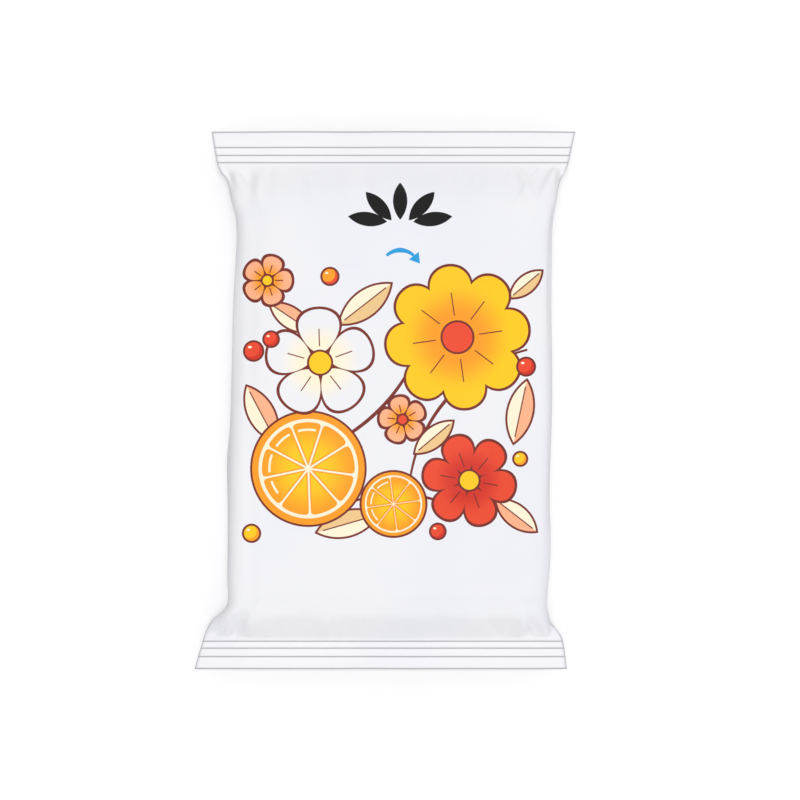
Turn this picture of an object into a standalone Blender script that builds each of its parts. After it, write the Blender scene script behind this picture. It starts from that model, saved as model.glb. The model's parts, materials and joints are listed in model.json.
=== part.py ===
"""A travel pack of wet wipes: a flow-wrapped film pouch lying on its back.

The pouch is one web of film folded round a soft stack of wipes. Its two long edges meet
in a fin seal that is folded flat along the back, and each end is pressed flat in a
crimped seal. A reseal label is stuck over the opening in the front.

+X runs across the pack, +Y towards its top seal and +Z out of its front. The origin is
on the surface that the pack lies on, under the middle of its outline.
"""

import bisect
import math

import bmesh
import bpy

# All sizes are in millimetres until a finished mesh is scaled to metres.
MM = 0.001

# The pouch as it lies
HALF_LENGTH = 70.0
THICKNESS = 18.0
CROWN = 0.5  # how much lower the front is near the ends of the stack than at its middle
STACK_HALF_LENGTH = 50.0
SIDE_HEIGHT = 8.0  # where the front and back panels meet along the sides

# The edges of the pouch, seen from the front, from the bottom cut edge to the top one.
# The pack sits a little askew: its bottom seal has drifted to the left.
OUTLINE = (  # y, left edge, right edge
    (-70.0, -49.6, 47.3),
    (-62.5, -47.4, 46.2),
    (-57.5, -45.2, 43.4),
    (-53.5, -41.6, 41.7),
    (-46.0, -40.9, 42.0),
    (-26.0, -40.6, 42.6),
    (0.0, -39.8, 43.1),
    (26.0, -39.0, 43.1),
    (45.5, -38.5, 43.1),
    (52.0, -39.8, 43.9),
    (57.5, -41.8, 46.0),
    (61.0, -43.6, 47.5),
    (70.0, -45.3, 49.6),
)

# End seals
SEAL_THICKNESS = 0.4
SEAL_HEIGHT_INNER = 6.5  # the seal leaves the stack at about its middle
SEAL_HEIGHT_CUT = 5.2  # and droops towards the cut edge
TOP_CRIMPS = (4.3, 6.4, 8.3)  # crimp lines, in from the top cut edge
BOTTOM_CRIMPS = (3.3, 5.5, 7.3)  # crimp lines, in from the bottom cut edge
CRIMP_HALF_WIDTH = 0.45
CRIMP_DEPTH = 0.3
SEAL_MARGIN = 0.6  # from the last crimp line to where the film opens out
FOLD_SQUARENESS = 16  # how abruptly the seal ends at its folded sides

# Shoulders, where the film swells from a seal to the full thickness
TOP_SHOULDER = 16.0
BOTTOM_SHOULDER = 14.0
SHOULDER_STATIONS = (0.06, 0.14, 0.24, 0.35, 0.48, 0.62, 0.8, 1.0)  # shares of the shoulder
FRONT_STEEPNESS = 2.2
BACK_STEEPNESS = 1.8
PRESSED_FLAT = 0.6  # the soft back would bulge this far below the surface
STACK_STATION_GAP = 12.0  # between sections on the stack, where the film hardly changes

# Fin seal, folded to the right on the back
FIN_ROOT = 0.0  # x of the fold
FIN_WIDTH = 10.0
FIN_THICKNESS = 0.3
FIN_GAP = 0.3  # between the folded fin and the back panel
FIN_NECK = 0.5  # thickness of the film where the fin leaves the panel
FIN_ROOTING = 0.6  # how far the neck reaches into the back panel
FIN_BED_MARGIN = 0.8  # how far the bed pressed into the back reaches past the fin
FIN_BED_SLANT = 0.6  # the bed's walls slope, as pressed film does
FIN_BED_FADE = 0.14  # share of the shoulder over which the bed runs out at each seal
FIN_STEP_ON_SEAL = 0.15  # how far the fin stands proud of the end seals
NECK_RISE_ON_SEAL = 0.01  # keeps the neck's section from folding up where it lies on a seal
CUTTER_REACH = 2.0  # how far the bed's cutter runs past what it cuts
CUTTER_CLEARANCE = 0.1  # how far it stays below the end seals, which it leaves whole

# Reseal label
LABEL_CENTRE_X = 3.9
LABEL_TOP = 43.0
LABEL_BOTTOM = -24.0
LABEL_HALF_WIDTH = 23.0
LABEL_CORNER = 9.0
TAB_RADIUS = 9.0
TAB_FILLET = 5.0
LABEL_THICKNESS = 0.15
LABEL_GAP = 0.3
LABEL_CELL = 4.5  # spacing of the lattice that lets the label follow the front

# Facets
TUBE_SEGMENTS = 48
ARC_STEPS = 6


def clear_scene():
    for obj in list(bpy.data.objects):
        bpy.data.objects.remove(obj)


def mixed(low, high, share):
    return low + (high - low) * share


# ---- The shape of the film ----


def edge_slope(row, column):
    """Slope of one edge of the outline at a row, so that the edge runs smoothly through it."""
    before = OUTLINE[max(row - 1, 0)]
    after = OUTLINE[min(row + 1, len(OUTLINE) - 1)]
    return (after[column] - before[column]) / (after[0] - before[0])


def edge_at(y, column):
    """x of the left (column 1) or right (column 2) edge of the pouch at y."""
    heights = [row[0] for row in OUTLINE]
    row = min(max(bisect.bisect_right(heights, y) - 1, 0), len(OUTLINE) - 2)
    start, end = OUTLINE[row], OUTLINE[row + 1]
    span = end[0] - start[0]
    t = (y - start[0]) / span
    ease = t * t * (3 - 2 * t)
    bow_start = t * (1 - t) ** 2 * span * edge_slope(row, column)
    bow_end = t * t * (t - 1) * span * edge_slope(row + 1, column)
    return mixed(start[column], end[column], ease) + bow_start + bow_end


def middle_and_half_width(y):
    left, right = edge_at(y, 1), edge_at(y, 2)
    return (left + right) / 2, (right - left) / 2


TOP_SEAL_INNER = HALF_LENGTH - TOP_CRIMPS[-1] - SEAL_MARGIN
BOTTOM_SEAL_INNER = -HALF_LENGTH + BOTTOM_CRIMPS[-1] + SEAL_MARGIN


def openness(y):
    """0 on the end seals and 1 where the pouch has its full thickness."""
    from_top = (TOP_SEAL_INNER - y) / TOP_SHOULDER
    from_bottom = (y - BOTTOM_SEAL_INNER) / BOTTOM_SHOULDER
    return min(max(min(from_top, from_bottom), 0.0), 1.0)


def front_rise(y):
    return 1 - (1 - openness(y)) ** FRONT_STEEPNESS


def back_fall(y):
    return 1 - (1 - openness(y)) ** BACK_STEEPNESS


def crimp_dip(y):
    """How far the seal is pressed back at y: a V at each crimp line."""
    lines = [HALF_LENGTH - inset for inset in TOP_CRIMPS]
    lines += [-HALF_LENGTH + inset for inset in BOTTOM_CRIMPS]
    nearest = min(abs(y - line) for line in lines)
    return CRIMP_DEPTH * max(0.0, 1 - nearest / CRIMP_HALF_WIDTH)


def seal_height(y):
    """Height of the middle of an end seal, which droops towards its cut edge."""
    inner = TOP_SEAL_INNER if y > 0 else -BOTTOM_SEAL_INNER
    out = min(max((abs(y) - inner) / (HALF_LENGTH - inner), 0.0), 1.0)
    return mixed(SEAL_HEIGHT_INNER, SEAL_HEIGHT_CUT, out) - crimp_dip(y)


def side_height(y):
    return mixed(seal_height(y), SIDE_HEIGHT, back_fall(y))


def strip_profile(across):
    """Section of the flat seal: full thickness up to its folded edges."""
    return max(0.0, 1 - abs(across) ** FOLD_SQUARENESS) ** (4 / FOLD_SQUARENESS)


def pillow_profile(across, rise):
    """Section of the swelling film: a lens beside the seals, a rounded box on the stack."""
    flatness = 2 + 3 * rise
    roundness = 1 + 1.4 * rise
    return max(0.0, 1 - abs(across) ** flatness) ** (1 / roundness)


def front_height(across, y):
    """z of the front panel. across runs from -1 at the left edge to 1 at the right."""
    rise = front_rise(y)
    side = side_height(y)
    top = THICKNESS - CROWN * (y / STACK_HALF_LENGTH) ** 2
    swell = mixed(seal_height(y), top, rise) - side
    film = SEAL_THICKNESS / 2
    return side + film * strip_profile(across) + (swell - film * rise) * pillow_profile(across, rise)


def back_height(across, y):
    """z of the back panel, which lies flat on the surface under the stack."""
    fall = back_fall(y)
    side = side_height(y)
    drop = side - seal_height(y) * (1 - fall) + PRESSED_FLAT * fall
    film = SEAL_THICKNESS / 2
    z = side - film * strip_profile(across) - drop * pillow_profile(across, fall)
    return max(0.0, z)


def front_height_at(x, y):
    middle, half_width = middle_and_half_width(y)
    return front_height((x - middle) / half_width, y)


# ---- Meshes ----


def stations():
    """The heights y at which the film is given a section."""
    found = {-HALF_LENGTH, HALF_LENGTH, TOP_SEAL_INNER, BOTTOM_SEAL_INNER}
    for inset in TOP_CRIMPS:
        found |= {HALF_LENGTH - inset + side * CRIMP_HALF_WIDTH for side in (-1, 0, 1)}
    for inset in BOTTOM_CRIMPS:
        found |= {-HALF_LENGTH + inset + side * CRIMP_HALF_WIDTH for side in (-1, 0, 1)}
    for step in SHOULDER_STATIONS:
        found.add(TOP_SEAL_INNER - step * TOP_SHOULDER)
        found.add(BOTTOM_SEAL_INNER + step * BOTTOM_SHOULDER)
    found |= {STACK_STATION_GAP * step for step in range(-3, 4)}
    return sorted(found)


def finish_object(name, bm, material):
    bmesh.ops.recalc_face_normals(bm, faces=bm.faces)
    bmesh.ops.scale(bm, vec=(MM, MM, MM), verts=bm.verts)
    mesh = bpy.data.meshes.new(name)
    bm.to_mesh(mesh)
    bm.free()
    mesh.shade_smooth()
    mesh.set_sharp_from_angle(angle=math.radians(40))
    obj = bpy.data.objects.new(name, mesh)
    if material:
        mesh.materials.append(material)
    bpy.context.scene.collection.objects.link(obj)
    return obj


def tube_along_y(section, heights):
    """A closed tube: the section, as (x, z) points, extruded along y through the heights."""
    bm = bmesh.new()
    ring = [bm.verts.new((x, heights[0], z)) for x, z in section]
    loop = [bm.edges.new((a, b)) for a, b in zip(ring, ring[1:] + ring[:1])]
    bmesh.ops.contextual_create(bm, geom=loop)
    for before, after in zip(heights, heights[1:]):
        made = bmesh.ops.extrude_edge_only(bm, edges=loop)["geom"]
        moved = [item for item in made if isinstance(item, bmesh.types.BMVert)]
        bmesh.ops.translate(bm, vec=(0, after - before, 0), verts=moved)
        ends = set(moved)
        edges = [item for item in made if isinstance(item, bmesh.types.BMEdge)]
        loop = [edge for edge in edges if set(edge.verts) <= ends]
    bmesh.ops.contextual_create(bm, geom=loop)
    return bm


def make_pouch(material):
    """The film pouch with its contents, as one solid."""
    turns = [2 * math.pi * i / TUBE_SEGMENTS for i in range(TUBE_SEGMENTS)]
    bm = tube_along_y([(math.cos(turn), math.sin(turn)) for turn in turns], stations())
    for vert in bm.verts:
        across, y, facing = vert.co
        middle, half_width = middle_and_half_width(y)
        height = front_height if facing >= 0 else back_height
        vert.co = (middle + half_width * across, y, height(across, y))
    return finish_object("sealed_pack", bm, material)


def fin_face_height(y):
    """z of the outer face of the fin: flush with the back, and a little proud on the seals."""
    on_seal = seal_height(y) + crimp_dip(y) - SEAL_THICKNESS / 2 - FIN_STEP_ON_SEAL
    return on_seal if openness(y) == 0 else min(back_height(0.0, y), on_seal)


def swept_under_back(name, section, material=None):
    """A bar along the back. section gives (x, z above the fin's face, z on the seals)."""
    reach = 0.0 if material else CUTTER_REACH
    heights = [-HALF_LENGTH - reach] + stations()[1:-1] + [HALF_LENGTH + reach]
    bm = tube_along_y([(x, index) for index, (x, _, _) in enumerate(section)], heights)
    for vert in bm.verts:
        x, y, index = vert.co
        _, on_back, on_seal = section[round(index)]
        opened = min(openness(y) / FIN_BED_FADE, 1.0)
        vert.co.z = fin_face_height(y) + mixed(on_seal, on_back, opened)
    return finish_object(name, bm, material)


def apply_boolean(target, other, operation):
    """Joins or cuts target with other, and removes other."""
    modifier = target.modifiers.new(operation.title(), "BOOLEAN")
    modifier.operation = operation
    modifier.solver = "EXACT"
    modifier.object = other
    graph = bpy.context.evaluated_depsgraph_get()
    joined = bpy.data.meshes.new_from_object(target.evaluated_get(graph))
    target.modifiers.clear()
    target.data = joined
    bpy.data.objects.remove(other)


def add_fin_seal(pouch, material):
    """Presses a shallow bed into the back, and joins the folded fin to the pouch in it."""
    bed_left = FIN_ROOT - FIN_NECK - FIN_BED_MARGIN
    bed_right = FIN_ROOT + FIN_WIDTH + FIN_BED_MARGIN
    bed_depth = FIN_THICKNESS + FIN_GAP
    bed = swept_under_back(
        "fin_bed_cutter",
        (
            (bed_left - FIN_BED_SLANT, -CUTTER_REACH, -CUTTER_REACH),
            (bed_right + FIN_BED_SLANT, -CUTTER_REACH, -CUTTER_REACH),
            (bed_right, bed_depth, -CUTTER_CLEARANCE),
            (bed_left, bed_depth, -CUTTER_CLEARANCE),
        ),
    )
    apply_boolean(pouch, bed, "DIFFERENCE")
    into_film = bed_depth + FIN_ROOTING
    inside_seal = FIN_STEP_ON_SEAL + SEAL_THICKNESS / 2
    fin = swept_under_back(
        "fin",
        (
            (FIN_ROOT - FIN_NECK, 0.0, 0.0),
            (FIN_ROOT + FIN_WIDTH, 0.0, 0.0),
            (FIN_ROOT + FIN_WIDTH, FIN_THICKNESS, inside_seal),
            (FIN_ROOT, FIN_THICKNESS, inside_seal),
            (FIN_ROOT, into_film, inside_seal + NECK_RISE_ON_SEAL),
            (FIN_ROOT - FIN_NECK, into_film, inside_seal + NECK_RISE_ON_SEAL),
        ),
        material,
    )
    apply_boolean(pouch, fin, "UNION")


def arc(centre, radius, start_deg, end_deg):
    """Points on an arc, both ends included."""
    points = []
    for step in range(ARC_STEPS + 1):
        turn = math.radians(mixed(start_deg, end_deg, step / ARC_STEPS))
        points.append((centre[0] + radius * math.cos(turn), centre[1] + radius * math.sin(turn)))
    return points


def label_outline():
    """The label seen from the front: a rounded rectangle with a round pull tab at its top."""
    shoulder = LABEL_TOP - TAB_RADIUS
    corner_x = LABEL_HALF_WIDTH - LABEL_CORNER
    # The fillet touches both the shoulder and the tab, at this angle above the tab's centre.
    touch = math.degrees(math.asin(TAB_FILLET / (TAB_RADIUS + TAB_FILLET)))
    fillet_x = (TAB_RADIUS + TAB_FILLET) * math.cos(math.radians(touch))
    right = arc((corner_x, LABEL_BOTTOM + LABEL_CORNER), LABEL_CORNER, -90, 0)
    right += arc((corner_x, shoulder - LABEL_CORNER), LABEL_CORNER, 0, 90)
    right += arc((fillet_x, shoulder + TAB_FILLET), TAB_FILLET, 270, 180 + touch)
    tab = arc((0.0, shoulder), TAB_RADIUS, touch, 180 - touch)
    left = [(-x, y) for x, y in reversed(right)]
    # The fillet and the tab share their meeting points, so the tab gives only those between.
    return [(x + LABEL_CENTRE_X, y) for x, y in right + tab[1:-1] + left]


def make_label(material):
    """The reseal label: a thin sheet that follows the crowned front of the pouch."""
    bm = bmesh.new()
    bm.faces.new([bm.verts.new((x, y, 0)) for x, y in label_outline()])
    xs = [vert.co.x for vert in bm.verts]
    ys = [vert.co.y for vert in bm.verts]
    for axis, low, high in ((0, min(xs), max(xs)), (1, min(ys), max(ys))):
        cuts = round((high - low) / LABEL_CELL)
        for cut in range(1, cuts):
            place, normal = [0.0] * 3, [0.0] * 3
            place[axis] = mixed(low, high, cut / cuts)
            normal[axis] = 1.0
            bmesh.ops.bisect_plane(
                bm, geom=bm.verts[:] + bm.edges[:] + bm.faces[:], plane_co=place, plane_no=normal
            )
    made = bmesh.ops.extrude_face_region(bm, geom=bm.faces[:])["geom"]
    upper = [item for item in made if isinstance(item, bmesh.types.BMVert)]
    bmesh.ops.translate(bm, vec=(0, 0, LABEL_THICKNESS), verts=upper)
    for vert in bm.verts:
        vert.co.z += front_height_at(vert.co.x, vert.co.y) + LABEL_GAP
    return finish_object("reseal_label", bm, material)


def plastic(name, colour, roughness):
    material = bpy.data.materials.new(name)
    material.use_nodes = True
    shader = material.node_tree.nodes["Principled BSDF"]
    shader.inputs["Base Color"].default_value = (*colour, 1.0)
    shader.inputs["Roughness"].default_value = roughness
    shader.inputs["Metallic"].default_value = 0.0
    return material


def main():
    clear_scene()
    film = plastic("white_film", (0.87, 0.87, 0.9), 0.38)
    label_film = plastic("label_film", (0.9, 0.9, 0.92), 0.28)
    pouch = make_pouch(film)
    add_fin_seal(pouch, film)
    make_label(label_film)


main()
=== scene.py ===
import bisect
import json
import math
import random

import bmesh
import bpy
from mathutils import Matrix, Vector, noise
from mathutils.bvhtree import BVHTree

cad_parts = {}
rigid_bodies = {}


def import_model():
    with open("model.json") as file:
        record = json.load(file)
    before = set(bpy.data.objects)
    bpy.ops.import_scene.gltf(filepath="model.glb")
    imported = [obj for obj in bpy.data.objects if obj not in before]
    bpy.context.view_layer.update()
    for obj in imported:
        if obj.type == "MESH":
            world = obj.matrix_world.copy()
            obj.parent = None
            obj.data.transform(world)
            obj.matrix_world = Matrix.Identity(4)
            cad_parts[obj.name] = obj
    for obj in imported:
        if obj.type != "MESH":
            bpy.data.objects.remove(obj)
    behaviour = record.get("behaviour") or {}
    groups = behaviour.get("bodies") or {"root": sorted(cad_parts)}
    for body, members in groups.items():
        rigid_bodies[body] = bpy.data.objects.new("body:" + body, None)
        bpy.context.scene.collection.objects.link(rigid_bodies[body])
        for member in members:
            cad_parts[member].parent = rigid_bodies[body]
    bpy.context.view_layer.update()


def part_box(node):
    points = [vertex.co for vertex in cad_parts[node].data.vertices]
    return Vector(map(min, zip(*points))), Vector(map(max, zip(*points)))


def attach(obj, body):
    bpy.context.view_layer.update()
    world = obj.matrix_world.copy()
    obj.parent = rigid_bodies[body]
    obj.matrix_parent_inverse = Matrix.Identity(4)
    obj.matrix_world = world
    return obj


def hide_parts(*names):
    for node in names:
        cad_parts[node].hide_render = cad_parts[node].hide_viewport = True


# Wet wipes pack: film pouch, fin seal, reseal label. Modelled in millimetres, scaled to metres at the end.
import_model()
toMetres = 0.001
toMillimetres = 1000.0
packLow, packHigh = [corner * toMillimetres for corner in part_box("sealed_pack")]
labelLow, labelHigh = [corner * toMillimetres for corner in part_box("reseal_label")]


def mixed(low, high, share):
    return low + (high - low) * share


def eased(value):
    value = min(max(value, 0.0), 1.0)
    return value * value * (3 - 2 * value)


# The film pouch. Sizes from the frame, the rest as a pack maker would give them.
pack = {
    "outline": [  # y, left edge, right edge, from the bottom cut edge up
        (-70.0, -49.6, 47.3),
        (-62.5, -47.4, 46.2),
        (-59.8, -46.5, 44.9),
        (-56.6, -44.7, 42.7),
        (-53.6, -41.4, 41.5),
        (-51.8, -40.9, 41.6),
        (-46.0, -40.9, 42.0),
        (-26.0, -40.6, 42.6),
        (0.0, -39.8, 43.1),
        (26.0, -38.9, 43.0),
        (45.0, -38.0, 43.2),
        (48.0, -38.1, 43.4),
        (52.0, -39.6, 44.2),
        (57.5, -41.5, 46.0),
        (59.3, -42.8, 46.9),
        (61.0, -43.6, 47.5),
        (70.0, -45.3, 49.6),
    ],
    "bottom": packLow.y,
    "top": packHigh.y,
    "thickness": packHigh.z,
    "topGap": 0.3,  # room over the front for its ridges and the label
    "crown": (0.5, 50.0),  # how far the front falls from its middle, and at what distance
    "sideHeight": 8.0,  # where front and back meet along the sides
    "sealThickness": 0.26,
    "sealInner": 6.5,  # height of the seal where it leaves the stack
    "sealCut": {"top": 5.3, "bottom": 6.6},  # and at its cut edge
    "crimps": {"top": (4.3, 6.4, 8.3), "bottom": (3.3, 5.5, 7.3)},  # in from the cut edges
    "crimpDepth": 0.3,
    "crimpWidth": 0.15,
    "crimpStop": 0.022,  # share of the half width at the sides that the crimps leave out
    "crimpShade": (0.08, 0.28, 0.75),  # where the painted shade in a crimp line's groove ends, and its strength
    "cutShade": (0.2, 0.6, 0.9),  # the same painted shade for the cut edges
    # strength of the painted shade along the folded sides of the seals
    "foldShade": 0.85,
    "weldedEnd": (-0.1, 0.2),  # past the last crimp, where the white of the weld fades out
    "sealRounding": 24,  # higher keeps the seals' full thickness closer to their sides
    "lip": (0.3, 0.16),  # how far the cut edges are bent down by the knife, and over what length
    "opening": {"top": 0.5, "bottom": 0.4},  # from the last crimp line to where the film parts
    "shoulder": {"top": 19.0, "bottom": 13.0},  # how far the film takes to reach its height
    "swell": {"top": (1.15, 2.5), "bottom": (1.3, 2.6)},  # how softly it starts, how soon it is up
    "backSwell": (1.25, 2.0),
    "backPress": 0.6,  # how far the surface underneath pushes the round back in
    "sealSection": (2.2, 1.0),  # flatness and squareness where the film leaves the seals
    "frontSection": (22.0, 2.8),  # flatness and squareness of the front over the stack
    "slackFlatness": 9.0,  # rounder where the film is slack, at the top left
    "slackFrom": (-20.0, 50.0),  # where along the left side that starts, and how gently
    "backSection": (7.0, 2.6),
    "foldShadeLine": 0.4,  # width of the painted shade line where the film folds at the sides of the seals
    "around": 400,  # points round the pouch
    "evenness": 0.6,  # 1 crowds those points at the sides, 0 spreads them evenly across
    "wave": 0.4,  # height of the waves in the loose cut edges
    "waveLength": (17.0, 90.0),  # across and along
    "droop": 0.55,  # how far the corners of the seals hang down
    "cutInsets": (0.0, 0.08, 0.16, 0.3),  # sections close to the cut edges
    "crimpInsets": (-2.2, -1.4, -0.7, 0, 0.7, 1.4, 2.2),  # and across each crimp, in crimp widths
    "sectionSteps": (0.42, 0.62, 1.15),  # between sections on the seals, shoulders and stack
}

# The folded wipes show through the film as a soft rectangle.
stack = {
    "middle": (2.6, -4.6),
    "halfSize": (36.8, 49.0),
    "corner": 5.0,
    "ridge": 0.22,  # how far its edge stands out
    "ridgeWidth": 1.6,
    "ridgeEnd": (30.0, 10.0),  # where along the pack it fades at the top, and how gently
    "sag": 0.28,  # unevenness of the wipes under the film
    "sagLength": (30.0, 46.0),
}

# Puckers and creases in the film.
creases = {
    "seed": 11,
    "gathers": 34,  # small pleats along each side of each seal
    "gatherStart": 0.5,  # past the last crimp
    "gatherDepth": (0.12, 0.46),
    "gatherWidth": (0.7, 1.9),
    "gatherLength": (2.5, 10.0),
    "cornerDepth": 0.8,
    "cornerFolds": [  # inset from the side, share of the shoulder, share of the depth, width
        (4.0, 0.95, 1.0, 1.5), (8.5, 0.7, -0.45, 1.3), (12.5, 0.62, 0.5, 1.2), (1.8, 0.6, -0.5, 1.0),
    ],
    "dimples": [  # x, y, radius, depth of broad hollows in the bottom shoulder and at the top corners
        (-33.0, -57.6, 3.4, 0.55), (-15.5, -57.4, 3.2, 0.3), (8.0, -57.2, 4.2, 0.16),
        (36.4, -57.4, 3.6, 0.5), (24.0, -57.0, 3.0, 0.22), (-35.5, 52.0, 5.0, 0.5),
        (39.5, 53.0, 4.0, 0.35), (-30.0, 47.0, 7.0, 0.3),
    ],
    "tension": 0.2,  # height of the fine lengthwise creases in the shoulders
    "tensionPitch": (2.4, 13.0),  # their spacing across and length along
    "sideFolds": 13,
    "sideDepth": (0.25, 0.65),
    "sideReach": 44,  # how far from the middle of the pack they lie
    "sideLevel": (3.5, 14.5),
    "sideLength": (7, 22),
    "sideWidth": (0.9, 2.1),
    "sideSlant": 0.09,
    "grain": 0.05,  # height of the small unevenness all over
    "grainLength": (9.0, 15.0, 9.0),
}


def edgeSlope(row, column):
    before = pack["outline"][max(row - 1, 0)]
    after = pack["outline"][min(row + 1, len(pack["outline"]) - 1)]
    return (after[column] - before[column]) / (after[0] - before[0])


def edgeAt(y, column):
    rows = pack["outline"]
    row = min(max(bisect.bisect_right([r[0] for r in rows], y) - 1, 0), len(rows) - 2)
    start, end = rows[row], rows[row + 1]
    span = end[0] - start[0]
    t = (y - start[0]) / span
    # a smooth curve through the rows, with the slope that the neighbours give
    bowStart = t * (1 - t) ** 2 * span * edgeSlope(row, column)
    bowEnd = t * t * (t - 1) * span * edgeSlope(row + 1, column)
    return mixed(start[column], end[column], eased(t)) + bowStart + bowEnd


def sealEnd(y):
    return "top" if y > 0 else "bottom"


def fromCut(y):
    # distance in from the nearer cut edge
    return min(pack["top"] - y, y - pack["bottom"])


def openLine(end):
    return pack["crimps"][end][-1] + pack["opening"][end]


def openShare(y):
    # 0 on the seals, 1 over the stack
    end = sealEnd(y)
    return min(max((fromCut(y) - openLine(end)) / pack["shoulder"][end], 0.0), 1.0)


def crimpDip(y):
    nearest = min(abs(fromCut(y) - line) for line in pack["crimps"][sealEnd(y)])
    return pack["crimpDepth"] * math.exp(-((nearest / pack["crimpWidth"]) ** 2))


def profileOf(y):
    # everything about the section at y that doesn't change across it
    left, right = edgeAt(y, 1), edgeAt(y, 2)
    opened = openShare(y)
    end = sealEnd(y)
    start, steep = pack["swell"][end]
    frontRise = 1 - (1 - opened ** start) ** steep
    start, steep = pack["backSwell"]
    backFall = 1 - (1 - opened ** start) ** steep
    outwards = 1 - min(fromCut(y) / openLine(end), 1.0)
    crown, crownLength = pack["crown"]
    seal = mixed(pack["sealInner"], pack["sealCut"][end], outwards)
    return {
        "y": y,
        "middle": (left + right) / 2,
        "half": (right - left) / 2,
        "opened": opened,
        "frontRise": frontRise,
        "backFall": backFall,
        "outwards": outwards,
        "seal": seal,
        "dip": crimpDip(y) * (opened == 0),
        "side": mixed(seal, pack["sideHeight"], backFall),
        "top": pack["thickness"] - pack["topGap"] - crown * (y / crownLength) ** 2,
    }


def pillow(across, rise, flat, square):
    # height of a section as a share, from the lens it has at a seal to the box it has over the stack
    sealFlat, sealSquare = pack["sealSection"]
    flatness = mixed(sealFlat, flat, rise)
    squareness = mixed(sealSquare, square, rise)
    return max(0.0, 1 - abs(across) ** flatness) ** (1 / squareness)


def edgeWave(x, profile):
    # the loose edges of the seals ripple and curl down a little at their corners
    across = (x - profile["middle"]) / profile["half"]
    acrossLength, alongLength = pack["waveLength"]
    ripple = noise.noise(Vector((x / acrossLength, profile["y"] / alongLength, 3.1)))
    depth, length = pack["lip"]
    lip = depth * math.exp(-fromCut(profile["y"]) / length)
    loose = pack["wave"] * 2 * ripple - pack["droop"] * abs(across) ** 5
    return profile["outwards"] ** 1.3 * loose - lip


def filmHeight(across, profile, front):
    x = profile["middle"] + profile["half"] * across
    film = pack["sealThickness"] / 2 * max(0.0, 1 - across ** pack["sealRounding"]) ** 0.5
    dip = profile["dip"] * eased((1 - abs(across)) / pack["crimpStop"])
    seal = profile["seal"] + edgeWave(x, profile) * (profile["opened"] == 0) - dip
    side = mixed(seal, profile["side"], 1.0 if profile["opened"] else 0.0)
    if front:
        rise = profile["frontRise"]
        swell = mixed(seal, profile["top"], rise) - side
        flat, square = pack["frontSection"]
        slackStart, slackLength = pack["slackFrom"]
        slack = eased((profile["y"] - slackStart) / slackLength) if across < 0 else 0.0
        flat = mixed(flat, pack["slackFlatness"], slack)
        return side + film + (swell - film * rise) * pillow(across, rise, flat, square)
    fall = profile["backFall"]
    drop = side - seal * (1 - fall) + pack["backPress"] * fall
    return max(0.0, side - film - drop * pillow(across, fall, *pack["backSection"]))


def stationsAlong():
    # close together at the crimp lines and shoulders, wider apart over the stack
    sealStep, shoulderStep, stackStep = pack["sectionSteps"]
    found = set()
    for end in ("top", "bottom"):
        insets = list(pack["cutInsets"])
        inset = insets[-1]
        while inset < openLine(end) + pack["shoulder"][end] + 2:
            inset += sealStep if inset < openLine(end) + 6 else shoulderStep
            insets.append(inset)
        for line in pack["crimps"][end]:
            insets = [inset for inset in insets if abs(inset - line) > 3 * pack["crimpWidth"]]
            insets += [line + pack["crimpWidth"] * side for side in pack["crimpInsets"]]
        found |= {pack["top"] - i if end == "top" else pack["bottom"] + i for i in insets}
    low = max(y for y in found if y < 0)
    high = min(y for y in found if y > 0)
    steps = round((high - low) / stackStep)
    return sorted(found | {mixed(low, high, step / steps) for step in range(steps + 1)})


def drawAlong(bm, loop, steps, direction):
    # closes a ring of edges, draws it out step by step and closes its far end
    bmesh.ops.contextual_create(bm, geom=loop)
    for _ in range(steps):
        drawn = bmesh.ops.extrude_edge_only(bm, edges=loop)["geom"]
        moved = [item for item in drawn if isinstance(item, bmesh.types.BMVert)]
        bmesh.ops.translate(bm, vec=direction, verts=moved)
        far = set(moved)
        loop = [item for item in drawn if isinstance(item, bmesh.types.BMEdge) and set(item.verts) <= far]
    bmesh.ops.contextual_create(bm, geom=loop)


def finishPiece(name, bm, material, slotName, *nodes):
    bmesh.ops.recalc_face_normals(bm, faces=bm.faces)
    bmesh.ops.scale(bm, vec=(toMetres,) * 3, verts=bm.verts)
    mesh = bpy.data.meshes.new(name)
    bm.to_mesh(mesh)
    bm.free()
    mesh.shade_smooth()
    mesh.set_sharp_from_angle(angle=math.radians(50))
    mesh.materials.append(material)
    piece = bpy.data.objects.new(name, mesh)
    bpy.context.scene.collection.objects.link(piece)
    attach(piece, "root")
    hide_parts(*nodes)
    return piece


def makeGathers(rng):
    # pleats that run from the seals into the shoulders, more and deeper towards the corners
    made = {}
    for end in ("top", "bottom"):
        for front in (True, False):
            pleats = []
            for _ in range(creases["gathers"]):
                spread = rng.uniform(-1, 1)
                across = math.copysign(abs(spread) ** 0.75, spread) * 0.97
                strength = mixed(0.35, 1.0, abs(across) ** 2)
                pleats.append({
                    "across": across,
                    "lean": rng.uniform(-0.25, 0.25) - 0.25 * across,
                    "depth": rng.uniform(*creases["gatherDepth"]) * strength * rng.choice((-1, 1)),
                    "width": rng.uniform(*creases["gatherWidth"]),
                    "length": rng.uniform(*creases["gatherLength"]) * mixed(0.7, 1.3, abs(across)),
                })
            made[end, front] = pleats
    return made


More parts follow.
